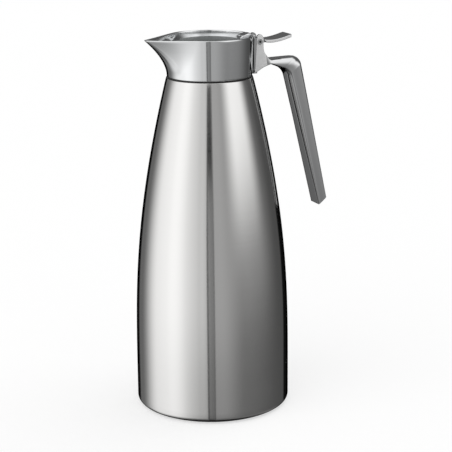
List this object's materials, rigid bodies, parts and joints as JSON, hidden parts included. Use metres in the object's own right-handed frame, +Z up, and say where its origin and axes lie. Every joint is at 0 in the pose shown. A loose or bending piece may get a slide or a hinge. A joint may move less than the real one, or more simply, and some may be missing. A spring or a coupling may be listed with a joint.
{
  "type": "insulated pouring jug with flip lid",
  "caption": "Tall double-walled steel vacuum jug with a beaked pouring collar, lever-operated flip lid and an open cantilever handle.",
  "frame": {"origin": "on the jug axis, at the surface it stands on", "axes": "+Z up along the jug axis, +X towards the handle, spout towards -X"},
  "size_m": [0.1624, 0.124, 0.3003],
  "materials": {
    "satin_steel": "satin",
    "polished_steel": "polished",
    "cast_steel": "satin polished",
    "flask_steel": "electropolished",
    "foil": "bright foil",
    "grey_plastic": "fine matt",
    "white_plastic": "matt",
    "black_silicone": "matt",
    "foam": "closed cell foam"
  },
  "bodies": {
    "jug": {"outer_shell": "satin_steel", "shell_base": "flask_steel", "inner_flask": "flask_steel", "flask_base": "flask_steel", "heat_shield": "foil", "flask_support": "white_plastic", "getter": "flask_steel", "vacuum_seal": "flask_steel", "foot_pad": "black_silicone", "seam_gasket": "black_silicone", "neck_insert": "grey_plastic", "neck_ring": "black_silicone", "collar": "polished_steel", "saddle": "cast_steel", "handle": "cast_steel", "backing_plate": "flask_steel", "handle_screws": "cast_steel", "hinge_pin": "polished_steel", "torsion_spring": "flask_steel"},
    "lid": {"lid_cap": "satin_steel", "lid_plug": "grey_plastic", "lid_base": "grey_plastic", "lid_insulation": "foam", "lid_seal": "black_silicone", "thumb_lever": "cast_steel", "lever_screws": "polished_steel", "hinge_bushes": "white_plastic"}
  },
  "joints": [
    {"name": "lid_hinge", "type": "hinge", "parent": "jug", "child": "lid", "pos_m": [0.04, 0, 0.2935], "axis": [0, 1, 0], "range_deg": [0, 31], "stiffness_Nm_per_rad": 0.03, "springref_deg": -34.38}
  ]
}
